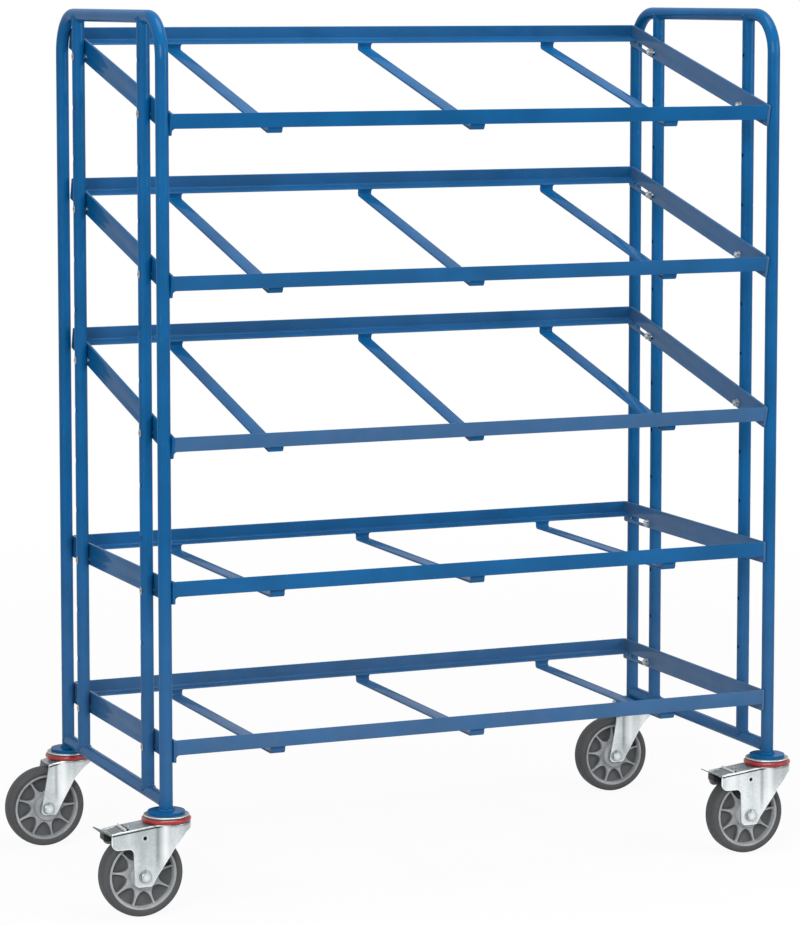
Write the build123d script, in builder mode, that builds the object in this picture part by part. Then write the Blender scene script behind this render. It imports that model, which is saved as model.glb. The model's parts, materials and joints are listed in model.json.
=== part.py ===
from build123d import *
import os
from math import atan2, cos, exp, hypot, radians, sin, sqrt

os.makedirs("parts", exist_ok=True)

# Main sizes in millimetres: X along the trolley, Y to the back, Z up from the floor
tube_diameter = 25.0
tube_wall = 2.0
frame_span = 1278.0  # between the middles of the two end frames
leg_spacing = 604.0  # between the two legs of one hoop
upright_spacing = 394.0  # between the two inner uprights of one frame
overall_height = 1690.0
hoop_bend = 75.0  # bend radius at the middle of the tube
caster_height = 190.0
disc_diameter = 70.0
disc_thickness = 6.0
base_tube_rise = 15.5  # middle of the base tube above the weld discs

# Rows of holes in the uprights, numbered from the top
hole_count = 14
hole_pitch = 100.0
hole_diameter = 9.0
lowest_hole = 296.0
seat_diameter = 17.0  # 90 degree seat pressed into the tube round each hole, on the outer side
seat_round = 1.5  # soft edge where the seat meets the tube
seat_tip = 1.5  # radius where the seat's cone ends, inside the hole
hole_turn = radians(53.0)  # keeps the seams of the holes off the seams of the tubes

# Shelves: which hole the front bolts and which the rear bolts go through
shelf_holes = [(2, 1), (5, 4), (8, 7), (11, 11), (14, 14)]
shelf_depth = 622.0
rail_leg = 29.0
rail_thickness = 3.0
rail_root = 3.0
rail_over_bolt = 32.5  # top of the rails above the line of the bolts
plate_height = 43.0
plate_thickness = 5.0
plate_corner = 4.0
plate_overhang = 1.0  # plates reach past the rails by this at both ends
plate_gap = 0.1  # between plate and upright
slot_tilt_steps = 2  # the rear slot lets the rear bolt sit up to this many holes higher
strap_width = 30.0
strap_thickness = 4.0
strap_drop = 17.0
strap_inset = 5.0  # end of a strap behind the rail's outer face
strap_riser = 37.0  # inner face of a strap's riser behind the rail's outer face
strap_bend = 5.0  # outer bend radius
strap_count = 3

# Fasteners of the shelves
bolt_diameter = 8.0
bolt_sink = 0.5  # flat of the countersunk head below the tube's outer line
bolt_seat = 0.05  # bolt head off its seat
socket_flats = 5.0
socket_depth = 2.6
nut_flats = 13.0
washer_diameter = 16.0
washer_hole = 8.4
washer_thickness = 1.6
nut_height = 6.5
bolt_end = 2.0  # bolt past the nut

# Casters: distances from the swivel axis, heights from the floor
wheel_radius = 80.0
wheel_trail = 52.0
tyre_half_width = 19.5
tyre_bulge = 70.0  # radius where the tyre is widest
tyre_shoulder = (18.2, 75.6)  # half width and radius
tyre_crown = (14.0, 78.6)
rim_radius = 66.0
rim_half_width = 17.5
rim_lip = 5.0
rim_band = 8.0
hub_radius = 25.0
hub_half_width = 24.0
hub_draft = 2.0  # hub wider by this at the web
web_half = 4.0
spoke_count = 9
spoke_half_height = 14.0
spoke_root = 11.0  # half width of a spoke at the flare's start
spoke_tip = 1.6  # and at the rim
spoke_start = 29.0  # radius where the flare starts
spoke_flare = 6.4  # distance over which the flare falls to about a third
spoke_points = 6
spoke_overlap = 1.0  # spokes reach this far into hub and band
axle_diameter = 12.0
axle_flats = 19.0
axle_head = 7.5
axle_end = 3.0
sleeve_radius = 9.0
bearing_outer = 32.0
bearing_width = 10.0
bearing_step = 3.0  # shoulder behind a bearing
fork_sheet = 3.0
fork_half_width = 30.0
crown_radius = 46.0
crown_thickness = 4.0
crown_top = 176.0
crown_flare = 41.0  # half width of the crown where its round front starts
crown_start = -4.0  # where the crown's round front starts
crown_rear = -30.0
seal_radius = 46.7
seal_waist = 44.0
top_plate_radius = 43.5
top_plate_thickness = 4.5
ball_ring_radius = 33.0
ball_radius = 4.3
king_bolt_flats = 19.0
king_bolt_head = 7.0
king_bolt_rise = 12.0  # king bolt past the weld disc
run_gap = 0.05  # radial clearance of pins and axles
side_gap = 0.3  # between faces that turn against each other

# Brake of the front casters
pivot_height = 153.0
pin_diameter = 8.0
pedal_sheet = 2.5
pedal_half_width = 25.6
ear_sheet = 3.0
ear_radius = 8.0
ear_depth = 9.0  # ear below the tread at its rear end
tread_step = (-90.0, 170.8)  # top of the bent-up front edge
tread_front = (-91.0, 165.4)
tread_rear = (-116.0, 161.8)
lip_length = 23.5
lip_angle = radians(22.0)
tread_ribs = 3
rib_rise = 0.9
rib_width = 2.4
block_half_width = 22.3
block_radius = 87.0
block_bottom = 149.5
block_front = -92.0
block_rear = -124.0
block_cut = 2.0  # slanted rear corner

# Derived sizes
tube_radius = tube_diameter / 2
tube_bore = tube_radius - tube_wall
seat_back = tube_wall * sqrt(2)  # the back of the pressed cone is this much wider than its front
head_radius = seat_diameter / 2 - bolt_sink - bolt_seat * sqrt(2)
head_height = head_radius - bolt_diameter / 2
disc_top = caster_height + disc_thickness
base_axis = disc_top + base_tube_rise
hoop_axis = overall_height - tube_radius
lip_tip = (tread_rear[0] - lip_length * cos(lip_angle), tread_rear[1] + lip_length * sin(lip_angle))
pedal_reach = pedal_sheet * sin(lip_angle) - lip_tip[0]
frame_middle = (pedal_reach - seal_radius) / 2  # puts the whole trolley's box on the origin
frame_x = {"left": frame_middle - frame_span / 2, "right": frame_middle + frame_span / 2}
upright_y = {"front": -upright_spacing / 2, "rear": upright_spacing / 2}
leg_y = {"front": -leg_spacing / 2, "rear": leg_spacing / 2}
leg_spots = [(x, y) for x in frame_x.values() for y in leg_y.values()]
rail_length = frame_span - tube_diameter - 2 * (plate_gap + plate_thickness)
rail_front = (upright_spacing - shelf_depth) / 2  # measured from the front bolt
rail_rear = rail_front + shelf_depth
rail_bottom = rail_over_bolt - rail_leg
slot_length = hypot(upright_spacing, slot_tilt_steps * hole_pitch) - upright_spacing
top_plate_bottom = caster_height - top_plate_thickness
inward = {"left": 1, "right": -1}


def hole_height(number):
    return lowest_hole + (hole_count - number) * hole_pitch


def shelf_plane(x, holes):
    # Local x runs to the rear along the shelf, local y up from it, origin on the front bolt
    front, rear = [hole_height(number) for number in holes]
    tilt = atan2(rear - front, upright_spacing)
    return Plane(origin=(x, upright_y["front"], front), x_dir=(0, cos(tilt), sin(tilt)), z_dir=(1, 0, 0))


def side_plane(x, y, z=0):
    # Local x is along X, local y is along Z, seen from the front
    return Plane(origin=(x, y, z), x_dir=(1, 0, 0), z_dir=(0, -1, 0))


def end_plane(x, y, z):
    # Local x is along Y, local y is along Z
    return Plane(origin=(x, y, z), x_dir=(0, 1, 0), z_dir=(1, 0, 0))


def cross_plane(side, end, number, distance):
    # On the axis of one hole, this far inward of the upright's middle, facing inward
    origin = (frame_x[side] + inward[side] * distance, upright_y[end], hole_height(number))
    return Plane(origin=origin, x_dir=(0, cos(hole_turn), sin(hole_turn)), z_dir=(inward[side], 0, 0))


def cone(wide, narrow, mode):
    # 90 degree cone that starts on the plane and narrows along it
    Cone(wide, narrow, wide - narrow, align=(Align.CENTER, Align.CENTER, Align.MIN), mode=mode)


def save(part, name):
    part.label = name
    export_step(part, f"parts/{name}.step")


# End frames
def make_hoop(side):
    x = frame_x[side]
    front, rear = leg_y["front"], leg_y["rear"]
    with BuildPart() as hoop:
        with BuildLine(end_plane(x, 0, 0)):
            FilletPolyline(
                (front, disc_top), (front, hoop_axis), (rear, hoop_axis), (rear, disc_top), radius=hoop_bend
            )
        with BuildSketch(Plane(origin=(x, front, disc_top))):
            Circle(tube_radius)
            Circle(tube_bore, mode=Mode.SUBTRACT)
        sweep()
    save(hoop.part, f"{side}_hoop")


def make_upright(side, end):
    x, y = frame_x[side], upright_y[end]
    foot = Plane(origin=(x, y, base_axis), x_dir=(0, 1, 0), z_dir=(0, 0, 1))
    length = hoop_axis - base_axis
    numbers = range(1, hole_count + 1)
    mouths = [cross_plane(side, end, number, -tube_diameter) for number in numbers]
    mouth_radius = seat_diameter / 2 + tube_radius
    with BuildPart() as bore:
        with BuildSketch(foot):
            Circle(tube_bore)
        extrude(amount=length)
        for mouth in mouths:
            with Locations(mouth):
                cone(mouth_radius + seat_back, seat_tip, Mode.SUBTRACT)
    with BuildPart() as upright:
        with BuildSketch(foot):
            Circle(tube_radius)
        extrude(amount=length)
        for mouth in mouths:
            with Locations(mouth):
                cone(mouth_radius, seat_tip, Mode.SUBTRACT)
        fillet(upright.edges().filter_by(GeomType.BSPLINE), seat_round)
        add(bore.part, mode=Mode.SUBTRACT)
        with BuildSketch(*mouths):
            Circle(hole_diameter / 2)
        extrude(amount=2 * tube_diameter, mode=Mode.SUBTRACT)
        with BuildSketch(side_plane(x, y)):
            with Locations((0, base_axis), (0, hoop_axis)):
                Circle(tube_radius)
        extrude(amount=tube_diameter, both=True, mode=Mode.SUBTRACT)
    save(upright.part, f"{side}_{end}_upright")


for side in frame_x:
    make_hoop(side)
    for end in upright_y:
        make_upright(side, end)

with BuildPart() as base_tubes:
    for x in frame_x.values():
        with BuildSketch(side_plane(x, 0, base_axis)):
            Circle(tube_radius)
            Circle(tube_bore, mode=Mode.SUBTRACT)
        extrude(amount=leg_spacing / 2, both=True)
    with BuildSketch(Plane.XY.offset(disc_top)):
        with Locations(*leg_spots):
            Circle(tube_radius)
    extrude(amount=2 * base_tube_rise, mode=Mode.SUBTRACT)
save(base_tubes.part, "base_tubes")

with BuildPart() as weld_discs:
    with BuildSketch(Plane.XY.offset(caster_height)):
        with Locations(*leg_spots):
            Circle(disc_diameter / 2)
            Circle(axle_diameter / 2 + run_gap, mode=Mode.SUBTRACT)
    extrude(amount=disc_thickness)
save(weld_discs.part, "weld_discs")


# Shelves
def make_rail(number, holes, end):
    face = {"front": rail_front, "rear": rail_rear}[end]
    inner = {"front": 1, "rear": -1}[end]
    with BuildPart() as rail:
        with BuildSketch(shelf_plane(frame_middle - rail_length / 2, holes)):
            with BuildLine():
                FilletPolyline(
                    (face, rail_bottom),
                    (face, rail_over_bolt),
                    (face + inner * rail_thickness, rail_over_bolt),
                    (face + inner * rail_thickness, rail_bottom + rail_thickness),
                    (face + inner * rail_leg, rail_bottom + rail_thickness),
                    (face + inner * rail_leg, rail_bottom),
                    radius=[0, 0, 0, rail_root, 0, 0],
                    close=True,
                )
            make_face()
        extrude(amount=rail_length)
    save(rail.part, f"shelf_{number}_{end}_rail")


def make_side_plates(number, holes):
    length = shelf_depth + 2 * plate_overhang
    with BuildPart() as plates:
        for side, x in frame_x.items():
            outer = x + inward[side] * (tube_radius + plate_gap)
            with BuildSketch(shelf_plane(outer, holes)):
                with Locations(((rail_front + rail_rear) / 2, rail_over_bolt - plate_height / 2)):
                    RectangleRounded(length, plate_height, plate_corner)
                Circle(hole_diameter / 2, mode=Mode.SUBTRACT)
                with Locations((upright_spacing + slot_length / 2, 0)):
                    SlotCenterToCenter(slot_length, hole_diameter, mode=Mode.SUBTRACT)
            extrude(amount=inward[side] * plate_thickness)
    save(plates.part, f"shelf_{number}_side_plates")


def make_straps(number, holes):
    low = rail_bottom - strap_drop
    inner_bend = strap_bend - strap_thickness
    with BuildPart() as straps:
        for place in range(strap_count):
            middle = frame_middle + (place - (strap_count - 1) / 2) * rail_length / strap_count
            with BuildSketch(shelf_plane(middle - strap_width / 2, holes)):
                with BuildLine():
                    FilletPolyline(
                        (rail_front + strap_inset, rail_bottom),
                        (rail_front + strap_riser, rail_bottom),
                        (rail_front + strap_riser, low),
                        (rail_rear - strap_riser, low),
                        (rail_rear - strap_riser, rail_bottom),
                        (rail_rear - strap_inset, rail_bottom),
                        radius=[strap_bend, inner_bend, inner_bend, strap_bend],
                    )
                    offset(amount=strap_thickness, side=Side.RIGHT)
                make_face()
            extrude(amount=strap_width)
    save(straps.part, f"shelf_{number}_cross_straps")


for number, holes in enumerate(shelf_holes, start=1):
    make_rail(number, holes, "front")
    make_rail(number, holes, "rear")
    make_side_plates(number, holes)
    make_straps(number, holes)


# Fasteners of the shelves, all pointing inward along X
def bolt_planes(distance):
    # Planes this far inward of the end frames, one for each bolt, facing inward
    planes = []
    for side in frame_x:
        for holes in shelf_holes:
            planes += [cross_plane(side, end, number, distance) for end, number in zip(upright_y, holes)]
    return planes


plate_face = tube_radius + plate_gap + plate_thickness
bolt_tip = plate_face + washer_thickness + nut_height + bolt_end

with BuildPart() as shelf_bolts:
    head_top = -tube_radius + bolt_sink
    with Locations(*bolt_planes(head_top)):
        cone(head_radius, bolt_diameter / 2, Mode.ADD)
    with BuildSketch(*bolt_planes(head_top + head_height)):
        Circle(bolt_diameter / 2)
    extrude(amount=bolt_tip - head_top - head_height)
    with BuildSketch(*bolt_planes(head_top)):
        RegularPolygon(socket_flats / 2, 6, major_radius=False)
    extrude(amount=socket_depth, mode=Mode.SUBTRACT)
save(shelf_bolts.part, "shelf_bolts")

with BuildPart() as shelf_washers:
    with BuildSketch(*bolt_planes(plate_face)):
        Circle(washer_diameter / 2)
        Circle(washer_hole / 2, mode=Mode.SUBTRACT)
    extrude(amount=washer_thickness)
save(shelf_washers.part, "shelf_washers")

with BuildPart() as shelf_nuts:
    with BuildSketch(*bolt_planes(plate_face + washer_thickness)):
        RegularPolygon(nut_flats / 2, 6, major_radius=False)
        Circle(bolt_diameter / 2 + run_gap, mode=Mode.SUBTRACT)
    extrude(amount=nut_height)
save(shelf_nuts.part, "shelf_nuts")

# Swivel heads of the casters: the pieces that stay with the frame
with BuildPart() as caster_top_plates:
    with BuildSketch(Plane.XY.offset(top_plate_bottom)):
        with Locations(*leg_spots):
            Circle(top_plate_radius)
            Circle(axle_diameter / 2 + run_gap, mode=Mode.SUBTRACT)
    extrude(amount=top_plate_thickness)
save(caster_top_plates.part, "caster_top_plates")

with BuildPart() as caster_seals:
    for x, y in leg_spots:
        seal_bottom = crown_top + side_gap
        seal_inner = ball_ring_radius + ball_radius + side_gap
        with BuildSketch(side_plane(x, y)):
            with BuildLine():
                Polyline(
                    (seal_waist, seal_bottom),
                    (seal_inner, seal_bottom),
                    (seal_inner, top_plate_bottom),
                    (top_plate_radius, top_plate_bottom),
                )
                ThreePointArc(
                    (top_plate_radius, top_plate_bottom),
                    (seal_radius, (seal_bottom + top_plate_bottom) / 2),
                    (seal_waist, seal_bottom),
                )
            make_face()
        revolve(axis=Axis((x, y, 0), (0, 0, 1)))
save(caster_seals.part, "caster_seals")

with BuildPart() as swivel_ball_rings:
    for x, y in leg_spots:
        with BuildSketch(side_plane(x, y)):
            with Locations((ball_ring_radius, top_plate_bottom - ball_radius)):
                RegularPolygon(ball_radius, 8, rotation=22.5, major_radius=False)
        revolve(axis=Axis((x, y, 0), (0, 0, 1)))
save(swivel_ball_rings.part, "swivel_ball_rings")

with BuildPart() as king_bolts:
    king_top = crown_top - crown_thickness - side_gap
    with BuildSketch(Plane.XY.offset(king_top - king_bolt_head)):
        with Locations(*leg_spots):
            RegularPolygon(king_bolt_flats / 2, 6, major_radius=False)
    extrude(amount=king_bolt_head)
    with BuildSketch(Plane.XY.offset(king_top)):
        with Locations(*leg_spots):
            Circle(axle_diameter / 2)
    extrude(amount=disc_top + king_bolt_rise - king_top)
save(king_bolts.part, "king_bolts")

# Casters, described by their swivel axis, whether they have a brake and how far the wheel is turned
casters = {
    "front_left": (frame_x["left"], leg_y["front"], True, 12.0),
    "front_right": (frame_x["right"], leg_y["front"], True, 7.0),
    "rear_left": (frame_x["left"], leg_y["rear"], False, 2.0),
    "rear_right": (frame_x["right"], leg_y["rear"], False, 13.0),
}
slope_start = (-21.0, crown_top)
braked_arm_end = -116.0
braked_plate_end = -80.0
braked_cheek = -30.0  # where the cheeks become parallel
braked_skirt = (50.0, 166.0)  # lower edge in front of the crown
braked_profile = [
    ((-72.0, 61.0), 10.0),
    ((-38.5, 61.0), 6.0),
    ((1.0, 130.5), 40.0),
    ((30.0, 162.0), 30.0),
    (braked_skirt, 0.0),
    ((braked_skirt[0], crown_top + 2.0), 0.0),
    ((-21.0, crown_top + 2.0), 0.0),
    (slope_start, 0.0),
    ((braked_arm_end, 162.2), 2.0),
    ((braked_arm_end, 134.5), 13.0),
    ((-74.5, 134.5), 10.0),
]
plain_plate_end = -50.0
plain_cheek = -38.0
plain_skirt = (50.0, 168.0)
plain_profile = [
    ((-68.5, 67.0), 9.0),
    ((-36.5, 67.0), 6.0),
    ((-1.0, 139.0), 40.0),
    ((25.0, 165.0), 30.0),
    (plain_skirt, 0.0),
    ((plain_skirt[0], crown_top + 2.0), 0.0),
    ((-21.0, crown_top + 2.0), 0.0),
    (slope_start, 0.0),
    ((plain_plate_end, 168.0), 4.0),
]


def make_fork(name, x, y, braked):
    profile, plate_end, cheek, tail = plain_profile, plain_plate_end, plain_cheek, -wheel_radius
    if braked:
        profile, plate_end, cheek, tail = braked_profile, braked_plate_end, braked_cheek, braked_arm_end
    end_point = profile[profile.index((slope_start, 0.0)) + 1][0]
    fall = (slope_start[1] - end_point[1]) / (slope_start[0] - end_point[0])
    plate_fall = fall * (slope_start[0] - plate_end)
    inner_half = fork_half_width - fork_sheet
    flare_left, flare_right = (crown_start, crown_flare), (crown_start, -crown_flare)
    with BuildPart() as fork:
        with BuildSketch(Plane(origin=(x, y, 0))):
            with BuildLine():
                Polyline((tail, -fork_half_width), (cheek, -fork_half_width), flare_right)
                ThreePointArc(flare_right, (crown_radius, 0), flare_left)
                Polyline(flare_left, (cheek, fork_half_width), (tail, fork_half_width))
                offset(amount=fork_sheet, side=Side.LEFT)
            make_face()
        extrude(amount=crown_top)
        with BuildSketch(side_plane(x, y)):
            with BuildLine():
                FilletPolyline(
                    *[point for point, radius in profile],
                    radius=[radius for point, radius in profile],
                    close=True,
                )
            make_face()
        extrude(amount=2 * fork_half_width, both=True, mode=Mode.INTERSECT)
        with BuildSketch(side_plane(x, y)):
            Polygon(
                slope_start,
                (plate_end, crown_top - plate_fall),
                (plate_end, crown_top - plate_fall - fork_sheet),
                (slope_start[0], crown_top - crown_thickness),
                align=None,
            )
        extrude(amount=inner_half, both=True)
        with BuildSketch(Plane(origin=(x, y, crown_top - crown_thickness))):
            with BuildLine():
                Polyline(flare_left, (crown_rear, inner_half), (crown_rear, -inner_half), flare_right)
                ThreePointArc(flare_right, (crown_radius, 0), flare_left)
            make_face()
            Circle(axle_diameter / 2 + run_gap, mode=Mode.SUBTRACT)
        extrude(amount=crown_thickness)
        with BuildSketch(side_plane(x, y)):
            with Locations((-wheel_trail, wheel_radius)):
                Circle(axle_diameter / 2 + run_gap)
            if braked:
                with Locations((-wheel_trail, pivot_height)):
                    Circle(pin_diameter / 2 + run_gap)
        extrude(amount=2 * fork_half_width, both=True, mode=Mode.SUBTRACT)
    save(fork.part, f"{name}_fork")


def make_axle(name, x, y):
    # Bolt with its head to the front, nut at the back, and a sleeve beside each bearing
    with BuildPart() as axle:
        spot = (-wheel_trail, wheel_radius)
        inner_half = fork_half_width - fork_sheet
        with BuildSketch(side_plane(x, y - fork_half_width)):
            with Locations(spot):
                RegularPolygon(axle_flats / 2, 6, major_radius=False)
        extrude(amount=axle_head)
        with BuildSketch(side_plane(x, y - fork_half_width)):
            with Locations(spot):
                Circle(axle_diameter / 2)
        extrude(amount=-2 * fork_half_width - axle_head - axle_end)
        with BuildSketch(side_plane(x, y + fork_half_width)):
            with Locations(spot):
                RegularPolygon(axle_flats / 2, 6, major_radius=False)
        extrude(amount=-axle_head)
        with BuildSketch(side_plane(x, y - inner_half), side_plane(x, y + hub_half_width + side_gap)):
            with Locations(spot):
                Circle(sleeve_radius)
        extrude(amount=hub_half_width + side_gap - inner_half)
    save(axle.part, f"{name}_axle")


def make_wheel(name, x, y, turned):
    axle_x = x - wheel_trail
    turn_axis = Axis((axle_x, y, wheel_radius), (0, 1, 0))
    section = end_plane(axle_x, y, wheel_radius)
    bearing_inner = hub_half_width - bearing_width
    spoke_inner, spoke_outer = hub_radius - spoke_overlap, rim_radius - rim_band + spoke_overlap
    spoke_reach = spoke_outer - spoke_start
    spoke_edge = []
    for step in range(spoke_points + 1):
        out = spoke_reach * (step / spoke_points) ** 1.6  # points closer together near the hub
        spoke_edge.append((spoke_start + out, spoke_tip + (spoke_root - spoke_tip) * exp(-out / spoke_flare)))
    bearing_seat = bearing_outer / 2
    with BuildPart() as rim:
        with BuildSketch(section):
            with BuildLine():
                half = Polyline(
                    (0, rim_radius),
                    (rim_half_width, rim_radius),
                    (rim_half_width, rim_radius - rim_lip),
                    (web_half, rim_radius - rim_band),
                    (web_half, hub_radius + hub_draft),
                    (hub_half_width, hub_radius),
                    (hub_half_width, bearing_seat),
                    (bearing_inner, bearing_seat),
                    (bearing_inner, bearing_seat - bearing_step),
                    (0, bearing_seat - bearing_step),
                )
                mirror(half, about=Plane.YZ)
            make_face()
        revolve(axis=turn_axis)
        for front in (1, -1):
            web_face = (axle_x, y - front * web_half, wheel_radius)
            with BuildSketch(Plane(origin=web_face, x_dir=(1, 0, 0), z_dir=(0, -front, 0))):
                with PolarLocations(0, spoke_count, start_angle=front * turned):
                    with BuildLine():
                        edge = Polyline(
                            (spoke_inner, 0), (spoke_inner, spoke_root), *spoke_edge, (spoke_outer, 0)
                        )
                        mirror(edge, about=Plane.XZ)
                    make_face()
            extrude(amount=spoke_half_height - web_half)
    save(rim.part, f"{name}_rim")

    with BuildPart() as tyre:
        bed = rim_radius + run_gap
        with BuildSketch(section):
            with BuildLine():
                half = Polyline((0, bed), (rim_half_width, bed), (tyre_half_width, tyre_bulge))
                bend = ThreePointArc((tyre_half_width, tyre_bulge), tyre_shoulder, tyre_crown)
                mirror((half, bend), about=Plane.YZ)
                ThreePointArc(tyre_crown, (0, wheel_radius), (-tyre_crown[0], tyre_crown[1]))
            make_face()
        revolve(axis=turn_axis)
    save(tyre.part, f"{name}_tyre")

    with BuildPart() as bearings:
        for start in (y - bearing_inner, y + hub_half_width):
            with BuildSketch(side_plane(axle_x, start)):
                with Locations((0, wheel_radius)):
                    Circle(bearing_seat - run_gap)
                    Circle(axle_diameter / 2 + run_gap, mode=Mode.SUBTRACT)
            extrude(amount=bearing_width)
    save(bearings.part, f"{name}_bearings")


def make_pedal(name, x, y):
    pivot = (-wheel_trail, pivot_height)
    slope = (tread_front[1] - tread_rear[1]) / (tread_front[0] - tread_rear[0])
    with BuildPart() as pedal:
        with BuildSketch(side_plane(x, y)):
            with BuildLine():
                Polyline(tread_step, tread_front, tread_rear, lip_tip)
                offset(amount=pedal_sheet, side=Side.LEFT)
            make_face()
            for place in range(tread_ribs):
                middle = tread_rear[0] + (place + 1) * (tread_front[0] - tread_rear[0]) / (tread_ribs + 1)
                height = tread_rear[1] + (middle - tread_rear[0]) * slope
                with Locations((middle, height)):
                    Rectangle(rib_width, 2 * rib_rise)
        extrude(amount=pedal_half_width, both=True)
        for start in (y - pedal_half_width + ear_sheet, y + pedal_half_width):
            with BuildSketch(side_plane(x, start)):
                Polygon(
                    (pivot[0], pivot_height + ear_radius),
                    (tread_front[0], tread_front[1] - pedal_sheet),
                    (tread_rear[0], tread_rear[1] - pedal_sheet),
                    (tread_rear[0], tread_rear[1] - ear_depth),
                    (pivot[0], pivot_height - ear_radius),
                    align=None,
                )
                with Locations(pivot):
                    Circle(ear_radius)
                    Circle(pin_diameter / 2 + run_gap, mode=Mode.SUBTRACT)
            extrude(amount=ear_sheet)
        for start in (y - pedal_half_width + ear_sheet, y + fork_half_width):
            with BuildSketch(side_plane(x, start)):
                with Locations(pivot):
                    Circle(pin_diameter / 2)
            extrude(amount=fork_half_width - pedal_half_width + ear_sheet)
    save(pedal.part, f"{name}_brake_pedal")

    under_front = tread_rear[1] + (block_front - tread_rear[0]) * slope - pedal_sheet - run_gap
    under_rear = tread_rear[1] - pedal_sheet - run_gap
    with BuildPart() as block:
        with BuildSketch(side_plane(x, y)):
            Polygon(
                (block_front, under_front),
                (tread_rear[0], under_rear),
                (block_rear, under_rear),
                (block_rear, under_rear - block_cut),
                (block_rear + block_cut, block_bottom),
                (block_front, block_bottom),
                align=None,
            )
            with Locations((-wheel_trail, wheel_radius)):
                Circle(block_radius, mode=Mode.SUBTRACT)
        extrude(amount=block_half_width, both=True)
    save(block.part, f"{name}_brake_block")


for name, (x, y, braked, turned) in casters.items():
    make_fork(name, x, y, braked)
    make_axle(name, x, y)
    make_wheel(name, x, y, turned)
    if braked:
        make_pedal(name, x, y)
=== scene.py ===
import json
from functools import cached_property, reduce
import bmesh
import bpy
import numpy as np
from mathutils import Euler, Matrix, Vector


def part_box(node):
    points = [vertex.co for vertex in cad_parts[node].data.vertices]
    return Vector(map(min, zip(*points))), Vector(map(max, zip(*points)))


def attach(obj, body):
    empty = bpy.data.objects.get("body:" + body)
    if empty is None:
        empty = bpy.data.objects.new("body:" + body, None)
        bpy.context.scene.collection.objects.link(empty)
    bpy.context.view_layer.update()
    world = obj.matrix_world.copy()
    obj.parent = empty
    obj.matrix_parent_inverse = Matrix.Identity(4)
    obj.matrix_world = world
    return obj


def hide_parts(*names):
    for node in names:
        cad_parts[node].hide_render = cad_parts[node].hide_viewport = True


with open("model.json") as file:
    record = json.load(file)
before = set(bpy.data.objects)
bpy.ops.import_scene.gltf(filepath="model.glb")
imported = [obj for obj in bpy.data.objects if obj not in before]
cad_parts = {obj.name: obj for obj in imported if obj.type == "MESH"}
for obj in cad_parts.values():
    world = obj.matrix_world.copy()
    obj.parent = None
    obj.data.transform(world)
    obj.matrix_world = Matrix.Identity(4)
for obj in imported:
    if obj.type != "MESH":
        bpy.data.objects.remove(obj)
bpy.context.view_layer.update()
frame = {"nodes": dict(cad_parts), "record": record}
cadNodes = frame["nodes"]
scene = bpy.context.scene
mm = 0.001  # shapes are worked out in millimetres
pi = np.pi
rng = np.random.default_rng(11)
print("frame:", len(cadNodes), "nodes")


class Shape:  # points in millimetres and lists of faces; + joins two, at() places one with a 4x4 matrix
    def __init__(self, points, faces):
        self.points = np.asarray(points, float).reshape(-1, 3)
        self.faces = faces

    def __add__(self, other):
        start = len(self.points)
        return Shape(np.vstack([self.points, other.points]), self.faces + [f + start for f in other.faces])

    def at(self, matrix):
        return Shape(self.points @ matrix[:3, :3].T + matrix[:3, 3], self.faces)


def joined(shapes):
    return reduce(Shape.__add__, shapes)


def grid(points, wrapU=False, wrapV=False, keep=None, caps=False):
    # quads between neighbours of a (rows, columns, 3) array; keep masks them, caps closes both end rows
    rows, columns = points.shape[:2]
    index = np.arange(rows * columns).reshape(rows, columns)
    right, below = np.roll(index, -1, 1), np.roll(index, -1, 0)
    quads = np.stack([index, right, np.roll(right, -1, 0), below], -1)
    quads = quads[: rows if wrapU else rows - 1, : columns if wrapV else columns - 1]
    faces = [quads[keep] if keep is not None else quads.reshape(-1, 4)]
    if caps:
        faces += [index[:1, ::-1], index[-1:]]
    return Shape(points, faces)


def sweep(profile, path, across, up):
    # every profile point (a, b) becomes path + a * across + b * up at each point of the path
    across, up = np.broadcast_to(across, path.shape), np.broadcast_to(up, path.shape)
    points = path[:, None] + profile[None, :, :1] * across[:, None] + profile[None, :, 1:] * up[:, None]
    return grid(points, wrapV=True, caps=True)


def fullTurn(count):
    return np.linspace(0, 2 * pi, count, endpoint=False)


def ringRows(rows, a):
    # a ring of points at the angles a for each (radius, height), numbers or one value per angle
    return np.stack([np.stack([r * np.cos(a), r * np.sin(a), z + 0 * a], -1) for r, z in rows])


def turned(profile, count):
    # closed profile of (radius, height) turned about Z
    angle = fullTurn(count)[:, None]
    radius, height = np.asarray(profile, float).T
    points = np.stack([radius * np.cos(angle), radius * np.sin(angle), height + 0 * angle], -1)
    return grid(points, wrapU=True, wrapV=True)


def unit(v):
    return v / np.linalg.norm(v, axis=-1, keepdims=True)


def rounded(corners, radii, steps=5, closed=True):
    # every corner becomes an arc that touches its two sides
    corners = np.asarray(corners, float)
    radii = np.broadcast_to(radii, len(corners))
    out = []
    for i, (corner, radius) in enumerate(zip(corners, radii)):
        if radius == 0 or (not closed and i in (0, len(corners) - 1)):
            out.append(corner[None])
            continue
        back, ahead = unit(corners[i - 1] - corner), unit(corners[(i + 1) % len(corners)] - corner)
        half = np.arccos(np.clip(back @ ahead, -1, 1)) / 2
        centre = corner + unit(back + ahead) * radius / np.sin(half)
        first = corner + back * radius / np.tan(half) - centre
        last = corner + ahead * radius / np.tan(half) - centre
        swing = pi - 2 * half
        t = np.linspace(0, 1, steps + 1)[:, None]
        out.append(centre + (np.sin((1 - t) * swing) * first + np.sin(t * swing) * last) / np.sin(swing))
    return np.vstack(out)


def resampled(line, count):
    # points at equal steps along a 2D line, and their distances from its start
    run = np.concatenate([[0], np.cumsum(np.linalg.norm(np.diff(line, axis=0), axis=1))])
    s = np.linspace(0, run[-1], count)
    return np.stack([np.interp(s, run, line[:, k]) for k in (0, 1)], -1), s


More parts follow.
